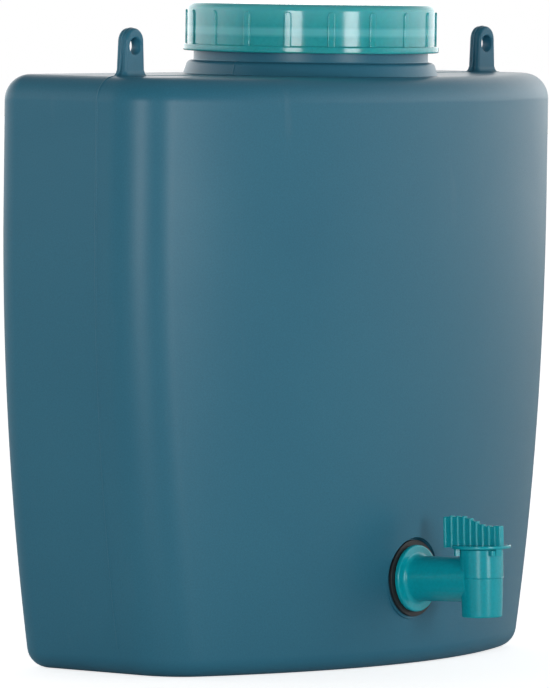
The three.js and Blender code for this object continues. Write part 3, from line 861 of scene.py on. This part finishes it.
# %% Cap sizes
CAP_HEIGHT = 23.5
CAP_BOTTOM = TANK_HEIGHT + 11
CAP_TOP = CAP_BOTTOM + CAP_HEIGHT
CAP_SKIRT = 60.6
CAP_FLANGE = 62.5
CAP_FLANGE_HEIGHT = 3.3
CAP_EDGE = 3.4
CAP_WALL = 2.1
CAP_TOP_WALL = 2.4
CAP_CEILING = CAP_TOP - CAP_TOP_WALL
CAP_INSIDE = CAP_SKIRT - CAP_WALL
CAP_THREAD_DEPTH = 2.9
CAP_THREAD_PLAY = 0.3
RIM_LOW_EDGE = 0.8
RIM_HIGH_EDGE = 0.7
CEILING_FILLET = 1.2
CAP_RIBS = 18
CAP_REST_TURN_DEG = -3.3
RIB_WIDTH = 3.6
RIB_PROUD = 0.8
RIB_TOP_DROP = 3.6
RIB_EDGE = 0.55
RIB_SINK = 0.6


# %% Cap
def cap_profile():
    flange_top = CAP_BOTTOM + CAP_FLANGE_HEIGHT
    low = arc(CAP_FLANGE - RIM_LOW_EDGE, CAP_BOTTOM + RIM_LOW_EDGE, RIM_LOW_EDGE, -QUARTER, 0, 5)
    high = arc(CAP_FLANGE - RIM_HIGH_EDGE, flange_top - RIM_HIGH_EDGE, RIM_HIGH_EDGE, 0, QUARTER, 5)
    return [
        (CAP_INSIDE, CAP_BOTTOM),
        *low,
        *high,
        (CAP_SKIRT + 0.25, flange_top),
        (CAP_SKIRT, flange_top + 0.3),
        *arc(CAP_SKIRT - CAP_EDGE, CAP_TOP - CAP_EDGE, CAP_EDGE, 0, QUARTER, 12),
        (0, CAP_TOP),
        (0, CAP_CEILING),
        *arc(CAP_INSIDE - CEILING_FILLET, CAP_CEILING - CEILING_FILLET, CEILING_FILLET, QUARTER, 0, 5),
    ]


def cap_rib():
    """One grip rib on the side that faces -Y, flat in front and domed at its top."""
    half = RIB_WIDTH / 2
    low = CAP_BOTTOM + CAP_FLANGE_HEIGHT - RIB_SINK
    high = CAP_TOP - RIB_TOP_DROP
    dome = [(high - half + half * math.sin(a), math.cos(a)) for a in [QUARTER * i / 9 for i in range(9)]]
    levels = [(low, 1.0), *dome, (high - 0.01, 0.08)]
    rings = []
    for z, share in levels:
        width = half * share
        proud = RIB_PROUD * min(1, 2 * share)
        edge = min(RIB_EDGE, width * 0.9, proud * 0.9)
        face = CAP_SKIRT + proud
        left = arc(-width + edge, -face + edge, edge, 2 * QUARTER, 3 * QUARTER, 4)
        right = arc(width - edge, -face + edge, edge, 3 * QUARTER, 4 * QUARTER, 4)
        back = -CAP_SKIRT + 1.0
        rings.append(at_height([*left, *right, (width, back), (-width, back)], z))
    return loft(rings)


def build_cap():
    cap = make_solid("ribbed_cap", lathe(cap_profile(), 144))
    for i in range(CAP_RIBS):
        turn = math.radians(360 * i / CAP_RIBS + CAP_REST_TURN_DEG)
        join(cap, cap_rib(), Matrix.Rotation(turn, 4, "Z"))
    thread_level = THREAD_START - THREAD["pitch"] / 2 + CAP_THREAD_PLAY
    join(cap, thread_ridge(CAP_INSIDE, CAP_INSIDE - CAP_THREAD_DEPTH, thread_level, **THREAD))
    return cap


cap = build_cap()
finish_piece(cap, "cap", cap_plastic, "screw_cap")


# %% Cap seal
def washer(inner, outer, low, high, edge, sides=96):
    """A flat ring with rounded edges."""
    corners = [
        (outer - edge, low + edge, -QUARTER),
        (outer - edge, high - edge, 0),
        (inner + edge, high - edge, QUARTER),
        (inner + edge, low + edge, 2 * QUARTER),
    ]
    return lathe([p for r, z, a in corners for p in arc(r, z, edge, a, a + QUARTER, 4)], sides)


SEAL_LOW = LIP + 0.3
SEAL_THICKNESS = 1.5
SEAL_INNER = 50.6
SEAL_OUTER = 56.4
SEAL_EDGE = 0.4
seal_ring = washer(SEAL_INNER, SEAL_OUTER, SEAL_LOW, SEAL_LOW + SEAL_THICKNESS, SEAL_EDGE)
seal = make_solid("cap_seal_ring", seal_ring)
finish_piece(seal, "cap_seal", seal_foam, "cap_gasket")

# %% [markdown]
# ## The tap
#
# A round flange with a threaded tail behind it clamps the tap to the tank. A level barrel leads the
# water out to an upright barrel, in which the key's plug turns. The upright barrel shows the fine line
# where its two mould halves meet, and tapers below it.

# %% Tap sizes
FLANGE_BACK = 2.2
FLANGE_FACE = 4.4
FLANGE_RADIUS = 16.2
FLANGE_EDGE = 0.8
BARREL_RADIUS = 11
BARREL_END_RADIUS = 10.7
BARREL_FILLET = 1.8
BARREL_OVERLAP = 3
TAP_BORE = 6.6
UPRIGHT_AXIS = FLANGE_FACE + 38
UPRIGHT_TOP = 15
UPRIGHT_BOTTOM = 17.9
UPRIGHT_RADIUS = 10.6
OUTLET_RADIUS = 9.75
OUTLET_EDGE = 0.9
SEAM_LEVEL = 1.3
CHAMBER_RADIUS = 8.4
CHAMBER_FLOOR = -10.4
SPOUT_BORE = 7.1
TAIL_LENGTH = 19
TAIL_RADIUS = 9.6
TAIL_CREST = 10.5
TAIL_END = FLANGE_BACK - TAIL_LENGTH
TAIL_THREAD = {"level": TAIL_END + 2, "pitch": 2.6, "turns": 3.5, "fade": TURN / 18, "steps": 48}
SNAP_LEVEL = 9.4
SNAP_GROOVE_RADIUS = 9
SNAP_GROOVE_HALF = 1
STOP_INNER = 11
STOP_OUTER = 13.2
STOP_DROP = 3
STOP_ANGLE = -TURN / 16
LUG_ANGLE = TURN / 40
LUG_HEIGHT = 2.6
LUG_DROP = 0.4
TAB_ANGLE = TURN / 24
ON_UPRIGHT = TAP_PLACE @ Matrix.Translation((0, -UPRIGHT_AXIS, 0))


# %% Tap body
def ring_sector(inner, outer, low, high, start, end):
    """A sector of a ring about the upright axis, between two angles measured from -Y."""
    outline = arc(0, 0, outer, start - QUARTER, end - QUARTER, 8)
    outline += arc(0, 0, inner, end - QUARTER, start - QUARTER, 8)
    return loft([at_height(outline, low), at_height(outline, high)])


def level_barrel():
    """Flange and barrel, drawn along the direction in which the water runs."""
    middle = (BARREL_RADIUS + BARREL_FILLET, FLANGE_FACE + BARREL_FILLET)
    fillet = arc(*middle, BARREL_FILLET, 3 * QUARTER, 2 * QUARTER, 8)
    return [
        (0, FLANGE_BACK),
        (FLANGE_RADIUS - 0.2, FLANGE_BACK),
        (FLANGE_RADIUS, FLANGE_BACK + 0.2),
        *arc(FLANGE_RADIUS - FLANGE_EDGE, FLANGE_FACE - FLANGE_EDGE, FLANGE_EDGE, 0, QUARTER, 6),
        *fillet,
        (BARREL_END_RADIUS, UPRIGHT_AXIS - BARREL_OVERLAP),
        (0, UPRIGHT_AXIS - BARREL_OVERLAP),
    ]


def upright_barrel():
    outlet_edge = arc(OUTLET_RADIUS - OUTLET_EDGE, OUTLET_EDGE - UPRIGHT_BOTTOM, OUTLET_EDGE, -QUARTER, 0, 6)
    return [
        (0, -UPRIGHT_BOTTOM),
        *outlet_edge,
        (UPRIGHT_RADIUS - 0.3, SEAM_LEVEL - 0.35),
        (UPRIGHT_RADIUS - 0.05, SEAM_LEVEL - 0.2),
        (UPRIGHT_RADIUS + 0.1, SEAM_LEVEL),
        (UPRIGHT_RADIUS - 0.05, SEAM_LEVEL + 0.2),
        (UPRIGHT_RADIUS - 0.05, UPRIGHT_TOP - 0.3),
        (UPRIGHT_RADIUS - 0.35, UPRIGHT_TOP),
        (0, UPRIGHT_TOP),
    ]


def chamber():
    """The space in which the plug turns, with a groove for its snap ring."""
    low = SNAP_LEVEL - SNAP_GROOVE_HALF
    high = SNAP_LEVEL + SNAP_GROOVE_HALF
    return [
        (0, CHAMBER_FLOOR),
        (CHAMBER_RADIUS, CHAMBER_FLOOR),
        (CHAMBER_RADIUS, low),
        (SNAP_GROOVE_RADIUS, low),
        (SNAP_GROOVE_RADIUS, high),
        (CHAMBER_RADIUS, high),
        (CHAMBER_RADIUS, UPRIGHT_TOP + 1),
        (0, UPRIGHT_TOP + 1),
    ]


def build_tap_body():
    body = make_solid("tap_barrels", lathe(level_barrel(), 96), TAP_ALONG)
    join(body, lathe(upright_barrel(), 96), ON_UPRIGHT)
    join(body, rod(TAIL_RADIUS, TAIL_END, FLANGE_BACK + 0.6, 64), TAP_ALONG)
    tail = thread_ridge(TAIL_RADIUS, TAIL_CREST, root_width=1.8, crest_width=0.6, **TAIL_THREAD)
    join(body, tail, TAP_ALONG)
    top = UPRIGHT_TOP - LUG_DROP
    start = STOP_ANGLE - LUG_ANGLE
    lug = ring_sector(UPRIGHT_RADIUS - 0.6, STOP_OUTER, top - LUG_HEIGHT, top, start, STOP_ANGLE)
    join(body, lug, ON_UPRIGHT)
    cut(body, rod(TAP_BORE, TAIL_END - 1, UPRIGHT_AXIS, 64), TAP_ALONG)
    cut(body, lathe(chamber(), 96), ON_UPRIGHT)
    cut(body, rod(SPOUT_BORE, -UPRIGHT_BOTTOM - 1, CHAMBER_FLOOR + 1, 96), ON_UPRIGHT)
    return body


tap_body = build_tap_body()
finish_piece(tap_body, "container", tap_plastic, "tap_body")

# %% [markdown]
# ## The tap's key
#
# The key is one moulding: a hollow plug with a side port, a round plate that covers the barrel, two
# stop tabs under the plate, and a tall fin to turn it by. The fin's ribs stand a little proud of its
# core on both sides and at its top, so that it looks combed. Its top falls in an S-curve to the free end.

# %% Key sizes
PLUG_RADIUS = 8.28
PLUG_BOTTOM = -9.9
PLUG_BORE = 5.6
PLUG_EDGE = 0.4
SNAP_CREST = 8.75
SNAP_HALF = 0.7
STOP_PLAY = 0.3 / STOP_INNER
PORT_RADIUS = 5.2
GROOVE_RADIUS = 7
GROOVE_HALF = 1.05
O_RING_LEVELS = {"plug_o_ring_upper": 7.2, "plug_o_ring_lower": -7.6}
PLATE_RADIUS = 14.3
PLATE_BOTTOM = UPRIGHT_TOP + 0.3
PLATE_TOP = PLATE_BOTTOM + 1.6
FIN_TANK_END = 21.7
FIN_FREE_END = -12.6
FIN_HIGH = 14
FIN_LOW = 9.6
FIN_CORE = 1.8
FIN_RIBS = 10
FIN_RIB_PITCH = 3.73
FIN_RIB_WIDTH = 1.7
FIN_THICKNESS = 3.4
FIN_END_RIB_WIDTH = 2.9
FIN_FIRST_RIB_DROP = 0.7
FIN_CORE_INSET = 0.7
FIN_CORE_DROP = 0.6
FIN_RIB_EDGE = 0.6
FIN_FALL = (11.0, -5.0)
FIN_TURN = Matrix.Rotation(QUARTER, 4, "Z") @ UPRIGHT


# %% Key
def fin_top(along):
    """The fin's height above the plate at a distance from the axis towards the tank."""
    share = (along - FIN_FALL[1]) / (FIN_FALL[0] - FIN_FALL[1])
    share = min(1, max(0, share))
    return FIN_LOW + (FIN_HIGH - FIN_LOW) * share * share * (3 - 2 * share)


def fin_core():
    """The thin wall between the ribs."""
    low = PLATE_BOTTOM + 0.2
    start = FIN_TANK_END - FIN_CORE_INSET
    end = FIN_FREE_END + FIN_CORE_INSET
    steps = 40
    places = [start + (end - start) * i / steps for i in range(steps + 1)]
    top = [(along, PLATE_TOP + fin_top(along) - FIN_CORE_DROP) for along in places]
    outline = [(end, low), (start, low), *top]
    half = FIN_CORE / 2
    return loft([at_height(outline, -half), at_height(outline, half)])


def fin_rib(along, width, top):
    """An upright rounded bar as thick as the fin."""
    edge = FIN_RIB_EDGE
    half_x = FIN_THICKNESS / 2
    dome = arc(0, 0, edge, 0, QUARTER, 4)
    levels = [(PLATE_BOTTOM, 0), *[(top - edge + up, edge - side) for side, up in dome]]
    rings = []
    for z, inset in levels:
        section = rounded_rectangle(half_x - inset, width / 2 - inset, edge + 0.1 - inset, 4)
        rings.append([(x, along + y, z) for x, y in section])
    return loft(rings)


def plug_profile():
    profile = [
        (0, PLUG_BOTTOM),
        (PLUG_RADIUS - PLUG_EDGE, PLUG_BOTTOM),
        (PLUG_RADIUS, PLUG_BOTTOM + PLUG_EDGE),
    ]
    for level in sorted(O_RING_LEVELS.values()):
        low = level - GROOVE_HALF
        high = level + GROOVE_HALF
        profile += [(PLUG_RADIUS, low), (GROOVE_RADIUS, low), (GROOVE_RADIUS, high), (PLUG_RADIUS, high)]
    snap = [
        (PLUG_RADIUS, SNAP_LEVEL - SNAP_HALF),
        (SNAP_CREST, SNAP_LEVEL),
        (PLUG_RADIUS, SNAP_LEVEL + SNAP_HALF),
    ]
    return [*profile, *snap, (PLUG_RADIUS, PLATE_BOTTOM + 0.5), (0, PLATE_BOTTOM + 0.5)]


def plate_profile():
    edge = 0.5
    return [
        (0, PLATE_BOTTOM),
        *arc(PLATE_RADIUS - edge, PLATE_BOTTOM + edge, edge, -QUARTER, 0, 5),
        *arc(PLATE_RADIUS - edge, PLATE_TOP - edge, edge, 0, QUARTER, 5),
        (0, PLATE_TOP),
    ]


def build_key():
    key = make_solid("turning_key", lathe(plate_profile(), 96), ON_UPRIGHT)
    join(key, lathe(plug_profile(), 72), ON_UPRIGHT)
    join(key, fin_core(), ON_UPRIGHT @ FIN_TURN)
    for i in range(FIN_RIBS):
        along = FIN_TANK_END - FIN_RIB_WIDTH / 2 - i * FIN_RIB_PITCH
        width = FIN_RIB_WIDTH
        top = PLATE_TOP + fin_top(along)
        if i == 0:
            top -= FIN_FIRST_RIB_DROP
        if i == FIN_RIBS - 1:
            width = FIN_END_RIB_WIDTH
            along = FIN_FREE_END + width / 2
        join(key, fin_rib(along, width, top), ON_UPRIGHT)
    closed = STOP_ANGLE + STOP_PLAY
    opened = STOP_ANGLE - LUG_ANGLE - QUARTER - STOP_PLAY
    low = UPRIGHT_TOP - STOP_DROP
    for start in (closed, opened - TAB_ANGLE):
        tab = ring_sector(STOP_INNER, STOP_OUTER, low, PLATE_BOTTOM + 0.6, start, start + TAB_ANGLE)
        join(key, tab, ON_UPRIGHT)
    cut(key, rod(PLUG_BORE, PLUG_BOTTOM - 1, PORT_RADIUS, 64), ON_UPRIGHT)
    port = ON_UPRIGHT @ Matrix.Rotation(QUARTER, 4, "Z") @ UPRIGHT
    cut(key, rod(PORT_RADIUS, 0, 12, 48), port)
    return key


key = build_key()
finish_piece(key, "key", tap_plastic, "tap_key")

# %% [markdown]
# ## Seals and nut
#
# Rubber seals the tap on both sides of the tank's wall, a collared nut pulls it tight from inside, and
# two O-rings seal the plug. They are turned shapes, and the nut is a turned blank cut to a hexagon.

# %% Seals
SEAL_GAP = 0.3
RUBBER_THICKNESS = 1.6
RUBBER_EDGE = 0.35
SEAT_GASKET_RADIUS = 18.6
INNER_GASKET_RADIUS = 15.6
INNER_FACE = SEAT_WALL + SEAL_GAP
INNER_BACK = INNER_FACE + RUBBER_THICKNESS
seat_ring = washer(SEAT_HOLE, SEAT_GASKET_RADIUS, SEAL_GAP, SEAL_GAP + RUBBER_THICKNESS, RUBBER_EDGE)
seat_gasket = make_solid("seat_gasket", seat_ring, TAP_ALONG)
finish_piece(seat_gasket, "container", black_rubber, "tap_flange_gasket")
inner_ring = washer(SEAT_HOLE, INNER_GASKET_RADIUS, -INNER_BACK, -INNER_FACE, RUBBER_EDGE)
inner_gasket = make_solid("inner_gasket", inner_ring, TAP_ALONG)
finish_piece(inner_gasket, "container", black_rubber, "tap_inner_washer")
O_RING_SECTION = 0.62
O_RING_OUTER = 8.26
for node, level in O_RING_LEVELS.items():
    section = arc(O_RING_OUTER - O_RING_SECTION, level, O_RING_SECTION, 0, TURN, 16)[:-1]
    o_ring = make_solid(node.replace("plug_", "") + "_visual", lathe(section, 72), ON_UPRIGHT)
    finish_piece(o_ring, "key", black_rubber, node)

# %% Back nut
NUT_SEAT = -(INNER_BACK + SEAL_GAP)
NUT_HEIGHT = 7
NUT_FLATS = 28
NUT_CHAMFER = 1.2
NUT_COLLAR = 17
NUT_COLLAR_HEIGHT = 2
NUT_COLLAR_EDGE = 0.5
NUT_PLAY = 0.3


def build_nut():
    corner = NUT_FLATS / 2 / math.cos(math.pi / 6)
    low = NUT_SEAT - NUT_HEIGHT
    bevel = [(corner - NUT_CHAMFER, low), (corner, low + NUT_CHAMFER * 0.6)]
    blank = [(0, low), *bevel, (corner, NUT_SEAT), (0, NUT_SEAT)]
    nut = make_solid("collared_nut", rod(corner, low, NUT_SEAT, 6), TAP_ALONG)
    combine(nut, make_solid("tool", lathe(blank, 72), TAP_ALONG), "INTERSECT")
    foot = NUT_SEAT - NUT_COLLAR_HEIGHT
    rim = arc(NUT_COLLAR - NUT_COLLAR_EDGE, foot + NUT_COLLAR_EDGE, NUT_COLLAR_EDGE, -QUARTER, 0, 4)
    collar = [(0, foot), *rim, (NUT_COLLAR, NUT_SEAT), (0, NUT_SEAT)]
    join(nut, lathe(collar, 96), TAP_ALONG)
    cut(nut, rod(TAIL_RADIUS + NUT_PLAY, low - 1, NUT_SEAT + 1, 64), TAP_ALONG)
    crest = TAIL_CREST + NUT_PLAY
    groove = thread_ridge(TAIL_RADIUS, crest, root_width=2.4, crest_width=1.2, **TAIL_THREAD)
    cut(nut, groove, TAP_ALONG)
    return nut


nut = build_nut()
finish_piece(nut, "container", tap_plastic, "tap_back_nut")

# %% [markdown]
# ## The table
#
# A plain white sheet. It shows itself to the camera a little brighter than it is lit, so that only the
# contact shadow stays visible, while what it throws back on to the container stays natural.

# %% Table
TABLE_HALF = 8.0
TABLE_COLOUR = (0.8, 0.8, 0.8, 1)
TABLE_GLOW = 0.72


def make_table():
    corners = [(TABLE_HALF * x, TABLE_HALF * y, 0) for x, y in ((-1, -1), (1, -1), (1, 1), (-1, 1))]
    mesh = bpy.data.meshes.new("table")
    mesh.from_pydata(corners, [], [(0, 1, 2, 3)])
    sheet = bpy.data.objects.new("table", mesh)
    bpy.context.scene.collection.objects.link(sheet)
    material = bpy.data.materials.new("white_table")
    material.use_nodes = True
    tree = material.node_tree
    shader = tree.nodes["Principled BSDF"]
    shader.inputs["Base Color"].default_value = TABLE_COLOUR
    shader.inputs["Roughness"].default_value = 0.9
    shader.inputs["Emission Color"].default_value = (1, 1, 1, 1)
    path = tree.nodes.new("ShaderNodeLightPath")
    glow = add_node(tree, "ShaderNodeMath", {"operation": "MULTIPLY"})
    glow.inputs[1].default_value = TABLE_GLOW
    tree.links.new(path.outputs["Is Camera Ray"], glow.inputs[0])
    tree.links.new(glow.outputs[0], shader.inputs["Emission Strength"])
    mesh.materials.append(material)
    return sheet


table = make_table()
print("table:", 2 * TABLE_HALF, "m wide")
